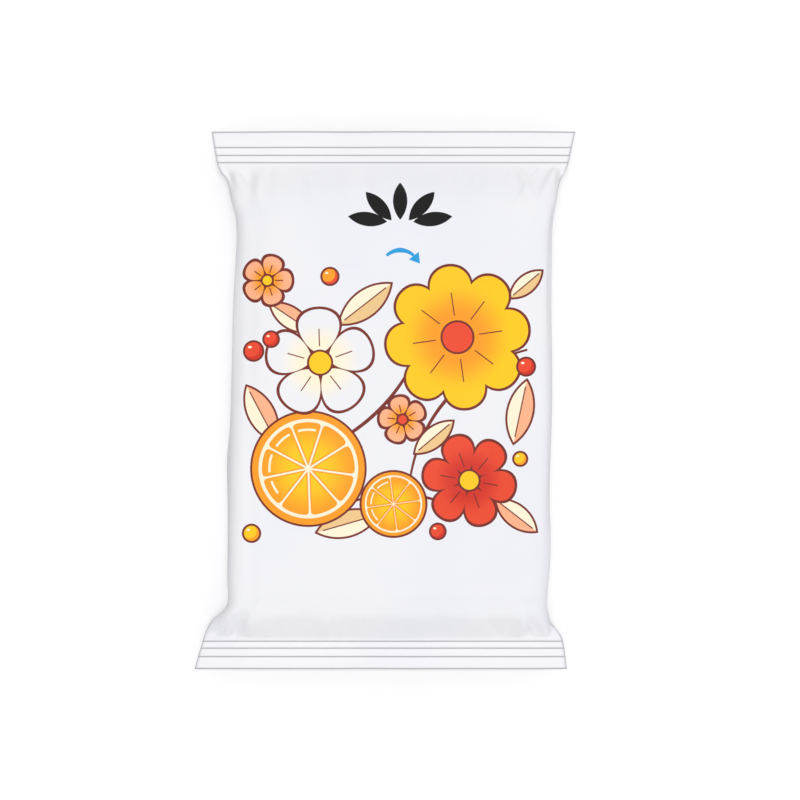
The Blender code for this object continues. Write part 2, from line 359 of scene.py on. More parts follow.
def makeCornerFolds(rng):
    # the film folds from the end of each seal to the corner of the stack: x, y of both ends, depth, width
    made = []
    for end, inward in (("top", -1), ("bottom", 1)):
        openY = (pack["top"] if end == "top" else pack["bottom"]) + inward * openLine(end)
        for column, outward in ((1, -1), (2, 1)):
            edge = edgeAt(openY, column)
            cornerX = stack["middle"][0] + outward * stack["halfSize"][0]
            reach = pack["shoulder"][end]
            for inset, share, depth, width in creases["cornerFolds"]:
                start = (edge - outward * (inset + rng.uniform(-0.8, 0.8)), openY + inward * 0.6)
                finish = (
                    mixed(start[0], cornerX - outward * rng.uniform(-1.0, 1.5), 0.75),
                    openY + inward * reach * share * rng.uniform(0.85, 1.15),
                )
                depth *= creases["cornerDepth"] * rng.uniform(0.75, 1.15)
                made.append((start, finish, depth, width))
    return made


def makeSideFolds(rng):
    # long shallow folds in the slack film of the two sides
    made = []
    for outward in (-1, 1):
        for _ in range(creases["sideFolds"]):
            made.append({
                "outward": outward,
                "y": rng.uniform(-creases["sideReach"], creases["sideReach"]),
                "z": rng.uniform(*creases["sideLevel"]),
                "length": rng.uniform(*creases["sideLength"]),
                "width": rng.uniform(*creases["sideWidth"]),
                "depth": rng.uniform(*creases["sideDepth"]) * rng.choice((1, 1, -1)),
                "slant": rng.uniform(-creases["sideSlant"], creases["sideSlant"]),
            })
    return made


def gatherOffset(gathers, front, profile, across):
    end = sealEnd(profile["y"])
    along = fromCut(profile["y"]) - pack["crimps"][end][-1] - creases["gatherStart"]
    if along <= 0:
        return 0.0
    total = 0.0
    for pleat in gathers[end, front]:
        if along > pleat["length"] * 3:
            continue
        off = (across - pleat["across"]) * profile["half"] - pleat["lean"] * along
        if abs(off) > 3 * pleat["width"]:
            continue
        fade = min(along / 1.6, 1.0) * math.exp(-((along / pleat["length"]) ** 2))
        total += pleat["depth"] * fade * math.exp(-((off / pleat["width"]) ** 2))
    return total


def tensionOffset(x, profile, front):
    # fine creases where the film is drawn from the seals up over the stack
    across, along = creases["tensionPitch"]
    ripple = noise.noise(Vector((x / across, profile["y"] / along, 4.2 if front else 9.6)))
    fade = eased(profile["opened"] * 9) * (1 - eased(profile["opened"] * 1.15)) ** 1.3
    return creases["tension"] * ripple * fade


def foldOffset(folds, x, y):
    total = 0.0
    for (startX, startY), (endX, endY), depth, width in folds:
        alongX, alongY = endX - startX, endY - startY
        reach = math.hypot(alongX, alongY)
        t = ((x - startX) * alongX + (y - startY) * alongY) / reach ** 2
        if not -0.15 < t < 1.25:
            continue
        off = ((x - startX) * alongY - (y - startY) * alongX) / reach
        wide = width * mixed(0.75, 1.5, min(max(t, 0.0), 1.0))
        if abs(off) > 3.5 * wide:
            continue
        fade = eased((t + 0.15) / 0.3) * (1 - eased((t - 0.55) / 0.7))
        valley = math.exp(-((off / wide) ** 2))
        bank = 0.35 * math.exp(-(((abs(off) - 1.7 * wide) / wide) ** 2))
        total -= depth * fade * (valley - bank)
    return total


def stackOffset(x, y):
    # a soft ridge where the film bends over the edge of the wipes, and their unevenness inside it
    dx = abs(x - stack["middle"][0]) - stack["halfSize"][0] + stack["corner"]
    dy = abs(y - stack["middle"][1]) - stack["halfSize"][1] + stack["corner"]
    distance = math.hypot(max(dx, 0), max(dy, 0)) + min(max(dx, dy), 0) - stack["corner"]
    fadeStart, fadeLength = stack["ridgeEnd"]
    fade = 1 - 0.8 * eased((y - fadeStart) / fadeLength)
    ridge = stack["ridge"] * math.exp(-((distance / stack["ridgeWidth"]) ** 2)) * fade
    acrossLength, alongLength = stack["sagLength"]
    uneven = noise.fractal(Vector((x / acrossLength, y / alongLength, 0.7)), 0.9, 2.0, 3) * stack["sag"]
    return ridge + uneven * eased(-distance / 6)


def sideOffset(folds, x, y, z, outward):
    total = 0.0
    for fold in folds:
        along = y - fold["y"]
        if fold["outward"] != outward or abs(along) > 2 * fold["length"]:
            continue
        up = (z - fold["z"] - fold["slant"] * along) / fold["width"]
        if abs(up) < 3:
            total -= fold["depth"] * math.exp(-((along / fold["length"]) ** 2)) * math.exp(-(up ** 2))
    return total


def dimpleOffset(x, y):
    total = 0.0
    for dimpleX, dimpleY, radius, depth in creases["dimples"]:
        away = ((x - dimpleX) ** 2 + (y - dimpleY) ** 2) / radius ** 2
        if away < 6:
            total -= depth * math.exp(-away)
    return total


def grainOffset(place):
    x, y, z = (value / length for value, length in zip(place, creases["grainLength"]))
    return creases["grain"] * noise.noise(Vector((x, y, z)))


def makePackBody():
    rng = random.Random(creases["seed"])
    gathers = makeGathers(rng)
    folds = makeCornerFolds(rng)
    sides = makeSideFolds(rng)
    profiles = [profileOf(y) for y in stationsAlong()]

    # a ring drawn out along Z, one step for each section, and then laid out along the pack
    bm = bmesh.new()
    bmesh.ops.create_circle(bm, cap_ends=False, segments=pack["around"], radius=1)
    drawAlong(bm, bm.edges[:], len(profiles) - 1, (0, 0, 1))
    placed = []
    foldLayer = bm.verts.layers.float.new("foldShadeLine")
    for vert in bm.verts:
        profile = profiles[round(vert.co.z)]
        angle = math.atan2(vert.co.y, vert.co.x)
        across = mixed(1 - 2 * abs(angle) / math.pi, math.cos(angle), pack["evenness"])
        front = angle >= 0
        placed.append((vert, profile, across, front))
        height = filmHeight(across, profile, front)
        vert.co = (profile["middle"] + profile["half"] * across, profile["y"], height)
        # mask for the painted shade along the folded sides of the seals, fading out over the shoulders
        inward = profile["half"] * (1 - abs(across)) / pack["foldShadeLine"]
        vert[foldLayer] = math.exp(-(inward ** 2)) * (1 - eased(profile["opened"] * 1.6))
    bmesh.ops.recalc_face_normals(bm, faces=bm.faces)
    bm.normal_update()

    # then every point moves along its normal by what the creases give there
    for vert, profile, across, front in placed:
        x, y, z = vert.co
        opened = eased(profile["opened"] * 6)
        if not opened:
            continue
        offset = gatherOffset(gathers, front, profile, across) + tensionOffset(x, profile, front)
        if front:
            offset += foldOffset(folds, x, y) + dimpleOffset(x, y)
            offset += stackOffset(x, y) * eased((z - 12) / 4)
        else:
            offset += foldOffset(folds, x, y) * 0.6 * eased(z / 2)
        if abs(across) > 0.8:
            outward = 1 if across > 0 else -1
            offset += sideOffset(sides, x, y, z, outward) * eased((abs(across) - 0.84) / 0.1)
        vert.co += vert.normal * (offset + grainOffset(vert.co)) * opened * eased(z / 1.5)
        vert.co.z = min(max(vert.co.z, 0.0), pack["thickness"] - 0.02)
    print("pack body:", len(bm.verts), "points,", len(profiles), "sections")
    return bm


# Fin seal: the web's two edges sealed face to face and laid flat on the back.
fin = {
    "root": 0.0,
    "width": 10.0,
    "thickness": 0.22,
    "bed": 0.42,  # how far it presses into the soft back
    "bedMargin": 1.4,
    "bedSearch": (4.0, 1.2),  # how far beside and above the fin the back is looked at
    "gap": 0.02,  # between the fin and the back panel
    "sealRoot": 0.1,  # how far the root reaches into the end seals
}


def bedDepth(x, profile):
    # the back gives way a little under the fin
    left = fin["root"] - fin["bedMargin"]
    right = fin["root"] + fin["width"] + fin["bedMargin"]
    inside = min(eased((x - left) / fin["bedMargin"]), eased((right - x) / fin["bedMargin"]))
    return fin["bed"] * inside * eased(profile["opened"] * 5)


def pressFinBed(bm):
    middle = fin["root"] + fin["width"] / 2
    beside, above = fin["bedSearch"]
    for vert in bm.verts:
        if vert.co.z < above and abs(vert.co.x - middle) < fin["width"] / 2 + beside:
            vert.co.z = max(vert.co.z, bedDepth(vert.co.x, profileOf(vert.co.y)))


def makeFinSeal():
    bm = bmesh.new()
    profiles = [profileOf(y) for y in stationsAlong()]
    t = fin["thickness"]
    # section of the strip, as x and height above its lower face; its root curls up into the back panel
    section = [(-0.42, 0.5), (-0.46, 0.28), (-0.34, 0.1), (-0.12, 0.01), (0.4, 0.0), (fin["width"], 0.0)]
    section += [(fin["width"], t), (0.5, t), (0.12, t + 0.02), (-0.02, t + 0.1), (-0.06, 0.5)]
    ring = [bm.verts.new((x + fin["root"], 0, z)) for x, z in section]
    loop = [bm.edges.new((a, b)) for a, b in zip(ring, ring[1:] + ring[:1])]
    drawAlong(bm, loop, len(profiles) - 1, (0, 1, 0))
    for vert in bm.verts:
        profile = profiles[round(vert.co.y)]
        across = (vert.co.x - profile["middle"]) / profile["half"]
        backFace = filmHeight(across, profile, False)
        under = backFace - t - fin["gap"] if profile["opened"] < 1 else 0.0
        rise = vert.co.z if profile["opened"] else min(vert.co.z, t + fin["sealRoot"])
        vert.co = (vert.co.x, profile["y"], max(under, 0.0) + rise)
    print("fin seal:", len(bm.verts), "points")
    return bm


# Reseal label: thin film stuck over the opening, cut with a pull tab.
label = {
    "middleX": (labelLow.x + labelHigh.x) / 2,
    "top": labelHigh.y,
    "bottom": labelLow.y,
    "half": (labelHigh.x - labelLow.x) / 2,
    "corner": 9.0,
    "tab": 9.0,
    "fillet": 5.0,
    "thickness": 0.12,
    "lift": 0.04,  # glue line
    "cell": 1.1,
    "cutShift": 0.013,  # keeps the cuts off the points of the outline
    "arcSteps": 14,
}


def arcPoints(centre, radius, startDeg, endDeg):
    made = []
    for step in range(label["arcSteps"] + 1):
        turn = math.radians(mixed(startDeg, endDeg, step / label["arcSteps"]))
        made.append((centre[0] + radius * math.cos(turn), centre[1] + radius * math.sin(turn)))
    return made


def labelOutline():
    shoulder = label["top"] - label["tab"]
    cornerX = label["half"] - label["corner"]
    touch = math.degrees(math.asin(label["fillet"] / (label["tab"] + label["fillet"])))
    filletX = (label["tab"] + label["fillet"]) * math.cos(math.radians(touch))
    right = arcPoints((cornerX, label["bottom"] + label["corner"]), label["corner"], -90, 0)
    right += arcPoints((cornerX, shoulder - label["corner"]), label["corner"], 0, 90)
    right += arcPoints((filletX, shoulder + label["fillet"]), label["fillet"], 270, 180 + touch)
    tab = arcPoints((0, shoulder), label["tab"], touch, 180 - touch)
    left = [(-x, y) for x, y in reversed(right)]
    return [(x + label["middleX"], y) for x, y in right + tab[1:-1] + left]


def makeLabel(packTree):
    bm = bmesh.new()
    bm.faces.new([bm.verts.new((x, y, 0)) for x, y in labelOutline()])
    for axis, low, high in ((0, labelLow.x, labelHigh.x), (1, labelLow.y, labelHigh.y)):
        cuts = round((high - low) / label["cell"])
        for cut in range(1, cuts):
            point, normal = [0.0] * 3, [0.0] * 3
            point[axis] = mixed(low, high, cut / cuts) + label["cutShift"]
            normal[axis] = 1.0
            geometry = bm.verts[:] + bm.edges[:] + bm.faces[:]
            bmesh.ops.bisect_plane(bm, geom=geometry, plane_co=point, plane_no=normal)
    drawn = bmesh.ops.extrude_face_region(bm, geom=bm.faces[:])["geom"]
    upper = {item for item in drawn if isinstance(item, bmesh.types.BMVert)}
    for vert in bm.verts:
        found = packTree.ray_cast(Vector((vert.co.x, vert.co.y, 60)), Vector((0, 0, -1)))[0]
        vert.co.z = found.z + label["lift"] + (label["thickness"] if vert in upper else 0)
    print("label:", len(bm.verts), "points")
    return bm


# Inks and film colours, and the grey of painted shade, as sRGB.
inks = {
    "film": "EFEFF3",
    "seal": "F2F1F4",
    # grey of the painted shade on the crimp lines, cut edges and folded sides of the seals
    "paintedShade": "A8A7AD",
    "yellow": "FFCB12",
    "orange": "FF9E1B",
    "red": "EE4A2B",
    "deepRed": "D6301F",
    "outline": "7A2A22",
    "peach": "FFB48A",
    "cream": "FFF3D6",
    "tan": "F0C88C",
    "blue": "1F9FDD",
    "black": "060505",
}


def linear(name):
    text = inks[name]
    channels = [int(text[i:i + 2], 16) / 255 for i in (0, 2, 4)]
    return tuple(c / 12.92 if c < 0.04045 else ((c + 0.055) / 1.055) ** 2.4 for c in channels) + (1.0,)


class Nodes:
    # short ways to add and join nodes in one tree
    def __init__(self, tree):
        self.tree = tree

    def put(self, kind, *values, **settings):
        node = self.tree.nodes.new("ShaderNode" + kind)
        for setting, value in settings.items():
            setattr(node, setting, value)
        for socket, value in zip(node.inputs, values):
            self.give(socket, value)
        return node

    def give(self, socket, value):
        if isinstance(value, bpy.types.NodeSocket):
            self.tree.links.new(value, socket)
        elif value is not None:
            socket.default_value = value

    def math(self, operation, *values, clamp=False):
        return self.put("Math", *values, operation=operation, use_clamp=clamp).outputs[0]

    def both(self, *masks):
        total = masks[0]
        for mask in masks[1:]:
            total = self.math("MULTIPLY", total, mask)
        return total

    def mix(self, share, under, over):
        node = self.put("Mix", data_type="RGBA")
        self.give(node.inputs[0], share)
        self.give(node.inputs[6], under)
        self.give(node.inputs[7], over)
        return node.outputs[2]

    def ramp(self, value, low, high):
        node = self.put("MapRange", value, low, high, 0.0, 1.0, interpolation_type="SMOOTHSTEP")
        return node.outputs[0]


def motifGroup(name, extra):
    # a printed shape: it draws itself over the colour that comes in
    tree = bpy.data.node_groups.new(name, "ShaderNodeTree")
    sockets = [("under", "NodeSocketColor"), ("place", "NodeSocketVector"), ("centre", "NodeSocketVector")]
    sockets += [("turn", "NodeSocketFloat"), ("size", "NodeSocketFloat")] + extra
    for socketName, kind in sockets:
        tree.interface.new_socket(socketName, in_out="INPUT", socket_type=kind)
    tree.interface.new_socket("colour", in_out="OUTPUT", socket_type="NodeSocketColor")
    nodes = Nodes(tree)
    given = tree.nodes.new("NodeGroupInput")
    away = nodes.put("VectorMath", given.outputs["place"], given.outputs["centre"], operation="SUBTRACT")
    turned = nodes.put("VectorRotate", rotation_type="Z_AXIS")
    nodes.give(turned.inputs["Vector"], away.outputs[0])
    nodes.give(turned.inputs["Angle"], nodes.math("MULTIPLY", given.outputs["turn"], -1.0))
    parts = nodes.put("SeparateXYZ", turned.outputs[0])
    size = given.outputs["size"]
    u = nodes.math("DIVIDE", parts.outputs[0], size)
    v = nodes.math("DIVIDE", parts.outputs[1], size)
    return tree, nodes, given.outputs, u, v


def closeGroup(tree, nodes, colour):
    end = tree.nodes.new("NodeGroupOutput")
    nodes.give(end.inputs[0], colour)
    return tree


def lengthOf(nodes, a, b):
    return nodes.math("SQRT", nodes.math("ADD", nodes.math("MULTIPLY", a, a), nodes.math("MULTIPLY", b, b)))


def lineMask(nodes, distance, size, halfWidth):
    # distance in shares of the motif's size, halfWidth in millimetres
    away = nodes.math("MULTIPLY", nodes.math("ABSOLUTE", distance), size)
    return nodes.math("LESS_THAN", away, halfWidth)


printLine = 0.27  # half the width of the drawn outlines, in millimetres


def outlined(nodes, colour, distance, size, ink):
    return nodes.mix(lineMask(nodes, distance, size, printLine), colour, ink)


def blossomGroup():
    tree, nodes, given, u, v = motifGroup("blossom print", [
        ("petals", "NodeSocketFloat"), ("petalWidth", "NodeSocketFloat"),
        ("petal", "NodeSocketColor"), ("base", "NodeSocketColor"), ("heart", "NodeSocketColor"),
    ])
    size = given["size"]
    heart, petalMiddle, petalHalf = 0.22, 0.58, 0.42  # as shares of the size
    radius = lengthOf(nodes, u, v)
    halfStep = nodes.math("DIVIDE", math.pi, given["petals"])
    fold = nodes.math("PINGPONG", nodes.math("ARCTAN2", v, u), halfStep)
    along = nodes.math("MULTIPLY", radius, nodes.math("COSINE", fold))
    aside = nodes.math("MULTIPLY", radius, nodes.math("SINE", fold))
    # an egg-shaped petal
    wide = nodes.math("MULTIPLY", given["petalWidth"], nodes.math("MULTIPLY_ADD", along, 0.7, 0.55))
    outAlong = nodes.math("DIVIDE", nodes.math("SUBTRACT", along, petalMiddle), petalHalf)
    outAside = nodes.math("DIVIDE", aside, wide)
    petal = nodes.math("SUBTRACT", lengthOf(nodes, outAlong, outAside), 1.0)
    distance = nodes.math("MULTIPLY", petal, 0.33)
    fill = nodes.math("LESS_THAN", petal, 0.0)
    shade = nodes.ramp(radius, 0.3, 0.78)
    colour = nodes.mix(fill, given["under"], nodes.mix(shade, given["base"], given["petal"]))
    vein = nodes.both(
        nodes.math("LESS_THAN", nodes.math("MULTIPLY", aside, size), printLine * 0.55),
        nodes.math("GREATER_THAN", radius, 0.3), nodes.math("LESS_THAN", radius, 0.62),
    )
    colour = nodes.mix(vein, colour, linear("outline"))
    colour = outlined(nodes, colour, distance, size, linear("outline"))
    colour = nodes.mix(nodes.math("LESS_THAN", radius, heart), colour, given["heart"])
    rim = nodes.math("SUBTRACT", radius, heart)
    return closeGroup(tree, nodes, outlined(nodes, colour, rim, size, linear("outline")))


def citrusGroup():
    tree, nodes, given, u, v = motifGroup("citrus print", [
        ("segments", "NodeSocketFloat"), ("rind", "NodeSocketColor"), ("flesh", "NodeSocketColor"),
        ("fleshEdge", "NodeSocketColor"),
    ])
    size = given["size"]
    rindInner, segmentEnd, halfWall, rounding = 0.87, 0.8, 0.028, 0.12  # as shares of the size
    radius = lengthOf(nodes, u, v)
    halfStep = nodes.math("DIVIDE", math.pi, given["segments"])
    fold = nodes.math("PINGPONG", nodes.math("ARCTAN2", v, u), halfStep)
    toWall = nodes.math("MULTIPLY", radius, nodes.math("SINE", nodes.math("SUBTRACT", halfStep, fold)))
    colour = nodes.mix(nodes.math("LESS_THAN", radius, 1.0), given["under"], given["rind"])
    colour = nodes.mix(nodes.math("LESS_THAN", radius, rindInner), colour, linear("cream"))
    # rounded segments: the corner between wall and pith is cut by a smooth minimum
    fromWall = nodes.math("SUBTRACT", toWall, halfWall)
    fromPith = nodes.math("SUBTRACT", segmentEnd, radius)
    room = nodes.math("SMOOTH_MIN", fromWall, fromPith, rounding)
    segment = nodes.math("GREATER_THAN", room, 0.0)
    flesh = nodes.mix(nodes.ramp(radius, 0.25, 0.85), given["flesh"], given["fleshEdge"])
    colour = nodes.mix(segment, colour, flesh)
    colour = nodes.mix(lineMask(nodes, room, size, printLine * 0.6), colour, linear("orange"))
    glint = nodes.both(
        nodes.math("GREATER_THAN", room, 0.05), nodes.math("GREATER_THAN", radius, 0.66),
        nodes.math("LESS_THAN", radius, 0.7), nodes.math("GREATER_THAN", nodes.math("SUBTRACT", v, u), 0.3),
    )
    colour = nodes.mix(glint, colour, linear("cream"))
    rim = nodes.math("SUBTRACT", radius, 1.0)
    return closeGroup(tree, nodes, outlined(nodes, colour, rim, size, linear("outline")))


def leafGroup():
    tree, nodes, given, u, v = motifGroup("leaf print", [
        ("width", "NodeSocketFloat"), ("fill", "NodeSocketColor"), ("half", "NodeSocketColor"),
        ("line", "NodeSocketColor"),
    ])
    size, width = given["size"], given["width"]
    # two arcs that meet in points
    chord = nodes.math("MULTIPLY_ADD", width, width, 1.0)
    bow = nodes.math("DIVIDE", chord, nodes.math("MULTIPLY", width, 2.0))
    lift = nodes.math("SUBTRACT", bow, width)
    upper = lengthOf(nodes, u, nodes.math("ADD", v, lift))
    lower = lengthOf(nodes, u, nodes.math("SUBTRACT", v, lift))
    edge = nodes.math("SUBTRACT", nodes.math("MAXIMUM", upper, lower), bow)
    inside = nodes.math("LESS_THAN", edge, 0.0)
    colour = nodes.mix(nodes.math("GREATER_THAN", v, 0.0), given["fill"], given["half"])
    colour = nodes.mix(inside, given["under"], colour)
    rib = nodes.both(
        nodes.math("LESS_THAN", nodes.math("MULTIPLY", nodes.math("ABSOLUTE", v), size), printLine * 0.6),
        nodes.math("LESS_THAN", nodes.math("ABSOLUTE", u), 0.78), inside,
    )
    colour = nodes.mix(rib, colour, given["line"])
    return closeGroup(tree, nodes, outlined(nodes, colour, edge, size, given["line"]))


def arcGroup():
    tree, nodes, given, u, v = motifGroup("stem print", [
        ("reach", "NodeSocketFloat"), ("halfWidth", "NodeSocketFloat"), ("ink", "NodeSocketColor"),
    ])
    radius = lengthOf(nodes, u, v)
    turn = nodes.math("ABSOLUTE", nodes.math("ARCTAN2", v, u))
    # thinner towards both ends
    towardsEnd = nodes.math("DIVIDE", turn, given["reach"])
    taper = nodes.math("SUBTRACT", 1.15, nodes.math("MULTIPLY", towardsEnd, 0.5))
    wide = nodes.math("MULTIPLY", given["halfWidth"], taper)
    drawn = nodes.both(
        lineMask(nodes, nodes.math("SUBTRACT", radius, 1.0), given["size"], wide),
        nodes.math("LESS_THAN", turn, given["reach"]),
    )
    return closeGroup(tree, nodes, nodes.mix(drawn, given["under"], given["ink"]))


def berryGroup():
    tree, nodes, given, u, v = motifGroup("berry print", [
        ("skin", "NodeSocketColor"), ("shade", "NodeSocketColor"),
    ])
    size = given["size"]
    radius = lengthOf(nodes, u, v)
    lit = lengthOf(nodes, nodes.math("ADD", u, 0.25), nodes.math("SUBTRACT", v, 0.25))
    skin = nodes.mix(nodes.math("GREATER_THAN", lit, 0.86), given["skin"], given["shade"])
    colour = nodes.mix(nodes.math("LESS_THAN", radius, 1.0), given["under"], skin)
    aboveGlint = nodes.math("MULTIPLY", nodes.math("SUBTRACT", v, 0.4), 1.6)
    glint = lengthOf(nodes, nodes.math("ADD", u, 0.38), aboveGlint)
    colour = nodes.mix(nodes.math("LESS_THAN", glint, 0.2), colour, linear("cream"))
    rim = nodes.math("SUBTRACT", radius, 1.0)
    return closeGroup(tree, nodes, outlined(nodes, colour, rim, size, linear("outline")))


def arrowHeadGroup():
    tree, nodes, given, u, v = motifGroup("arrow head print", [("ink", "NodeSocketColor")])
    halfHeight = nodes.math("MULTIPLY", nodes.math("SUBTRACT", 1.0, u), 0.62)
    side = nodes.math("LESS_THAN", nodes.math("ABSOLUTE", v), halfHeight)
    drawn = nodes.both(side, nodes.math("GREATER_THAN", u, 0.0))
    return closeGroup(tree, nodes, nodes.mix(drawn, given["under"], given["ink"]))


# The printed design: plain flowers and citrus slices. Places in millimetres from the middle of the pack.
design = {
    "above": 8.6,  # only the film higher than this carries it
    "stems": [  # centre, turn, radius, reach, half width
        ((-34.0, 30.0), -48, 46.0, 40, 0.42),
        ((46.0, -26.0), 138, 40.0, 34, 0.42),
        ((3.0, -58.0), 86, 34.0, 36, 0.36),
    ],
    "leaves": [  # centre, turn, size, width, fill, half
        ((-31.5, -3.5), 118, 8.2, 0.42, "peach", "cream"),
        ((-5.0, 24.5), 38, 8.6, 0.4, "tan", "cream"),
        ((34.5, -3.0), 78, 8.4, 0.4, "peach", "cream"),
        ((-9.5, -31.5), 196, 8.4, 0.4, "tan", "cream"),
        ((33.5, -29.5), -38, 6.8, 0.42, "peach", "cream"),
        ((-24.0, 21.0), 146, 6.6, 0.42, "peach", "cream"),
        ((12.5, -9.5), 40, 6.6, 0.4, "tan", "cream"),
        ((36.0, 29.5), 40, 5.6, 0.42, "tan", "cream"),
    ],
    "citrus": [  # centre, turn, size, segments
        ((-19.5, -17.5), 12, 14.6, 9),
        ((2.2, -26.5), 30, 8.4, 8),
    ],
    "blossoms": [  # centre, turn, size, petals, petal width, petal, base, heart
        ((18.5, 16.0), 8, 18.5, 8, 0.3, "yellow", "orange", "red"),
        ((-16.5, 9.5), 20, 14.0, 5, 0.4, "film", "cream", "yellow"),
        ((21.5, -20.5), -10, 12.0, 6, 0.34, "red", "deepRed", "yellow"),
        ((-30.0, 30.5), 0, 6.6, 5, 0.42, "peach", "orange", "yellow"),
        ((4.5, -5.0), 30, 6.2, 5, 0.42, "peach", "orange", "red"),
    ],
    "berries": [  # centre, size, skin, shade
        ((-33.5, 12.5), 2.5, "red", "deepRed"),
        ((-29.0, 15.5), 2.0, "red", "deepRed"),
        ((-14.0, 31.5), 2.2, "orange", "red"),
        ((36.0, 8.5), 2.3, "red", "deepRed"),
        ((-34.0, -34.0), 2.2, "yellow", "orange"),
        ((13.5, -33.5), 2.0, "red", "deepRed"),
        ((34.5, -15.0), 1.8, "yellow", "orange"),
    ],
    "ornament": {
        "centre": (3.9, 45.4), "reach": 5.6, "stretch": 1.5, "size": 4.6, "width": 0.34,
        "fan": (8, 49, 90, 131, 172),
    },
    "arrow": {"centre": (3.9, 33.2), "radius": 5.0, "reach": 44, "halfWidth": 0.55, "head": 2.6},
}


def place(point):
    return (point[0], point[1], 0.0)


def printGroup():
    groups = {
        "stem": arcGroup(), "leaf": leafGroup(), "citrus": citrusGroup(), "blossom": blossomGroup(),
        "berry": berryGroup(), "head": arrowHeadGroup(),
    }
    tree = bpy.data.node_groups.new("front print", "ShaderNodeTree")
    tree.interface.new_socket("colour", in_out="OUTPUT", socket_type="NodeSocketColor")
    nodes = Nodes(tree)
    where = nodes.put("TexCoord").outputs["Object"]
    inMillimetres = nodes.put("VectorMath", where, operation="SCALE")
    inMillimetres.inputs["Scale"].default_value = toMillimetres
    parts = nodes.put("SeparateXYZ", inMillimetres.outputs[0])
    flat = nodes.put("CombineXYZ", parts.outputs[0], parts.outputs[1], 0.0).outputs[0]
    colour = linear("film")

    def draw(kind, centre, turn, size, *values):
        nonlocal colour
        node = tree.nodes.new("ShaderNodeGroup")
        node.node_tree = groups[kind]
        given = (colour, flat, place(centre), math.radians(turn), size, *values)
        for socket, value in zip(node.inputs, given):
            nodes.give(socket, value)
        colour = node.outputs[0]

    for centre, turn, radius, reach, halfWidth in design["stems"]:
        draw("stem", centre, turn, radius, math.radians(reach), halfWidth, linear("outline"))
    for centre, turn, size, width, fill, half in design["leaves"]:
        draw("leaf", centre, turn, size, width, linear(fill), linear(half), linear("outline"))
    for centre, turn, size, segments in design["citrus"]:
        draw("citrus", centre, turn, size, segments, linear("orange"), linear("yellow"), linear("orange"))
    for centre, turn, size, petals, petalWidth, petal, base, heart in design["blossoms"]:
        draw("blossom", centre, turn, size, petals, petalWidth, linear(petal), linear(base), linear(heart))
    for centre, size, skin, shade in design["berries"]:
        draw("berry", centre, 0, size, linear(skin), linear(shade))
    ornament = design["ornament"]
    for turn in ornament["fan"]:
        out = math.radians(turn)
        tip = (
            ornament["centre"][0] + ornament["reach"] * math.cos(out) * ornament["stretch"],
            ornament["centre"][1] + ornament["reach"] * math.sin(out),
        )
        draw("leaf", tip, turn, ornament["size"], ornament["width"], *[linear("black")] * 3)
    arrow = design["arrow"]
    reach = math.radians(arrow["reach"])
    draw("stem", arrow["centre"], 90, arrow["radius"], reach, arrow["halfWidth"], linear("blue"))
    end = math.radians(90 - arrow["reach"])
    tip = (
        arrow["centre"][0] + arrow["radius"] * math.cos(end),
        arrow["centre"][1] + arrow["radius"] * math.sin(end),
    )
    draw("head", tip, -arrow["reach"] - 8, arrow["head"], linear("blue"))

    onFront = nodes.math("GREATER_THAN", parts.outputs[2], design["above"])
    colour = nodes.mix(onFront, linear("film"), colour)
    # two layers of film welded together look whiter; painted shade greys the crimp lines and the cut edges
    alongPack = parts.outputs[1]
    for end in ("top", "bottom"):
        sign = 1 if end == "top" else -1
        fromEdge = nodes.math("SUBTRACT", pack["top"], nodes.math("MULTIPLY", alongPack, sign))
        fadeFrom, fadeTo = (pack["crimps"][end][-1] + past for past in pack["weldedEnd"])
        welded = nodes.math("SUBTRACT", 1.0, nodes.ramp(fromEdge, fadeFrom, fadeTo))
        colour = nodes.mix(welded, colour, linear("seal"))
        # painted shade along the cut edge and along each crimp line
        paintedShadeLines = [(0.0, *pack["cutShade"])] + [(line, *pack["crimpShade"]) for line in pack["crimps"][end]]
        for line, near, far, share in paintedShadeLines:
            away = nodes.math("ABSOLUTE", nodes.math("SUBTRACT", fromEdge, line))
            paintedShade = nodes.math("SUBTRACT", 1.0, nodes.ramp(away, near, far))
            colour = nodes.mix(nodes.math("MULTIPLY", paintedShade, share), colour, linear("paintedShade"))
    # painted shade along the folded sides of the seals
    foldShadeMask = nodes.put("Attribute", attribute_name="foldShadeLine").outputs["Fac"]
    colour = nodes.mix(nodes.math("MULTIPLY", foldShadeMask, pack["foldShade"]), colour, linear("paintedShade"))
    return closeGroup(tree, nodes, colour)


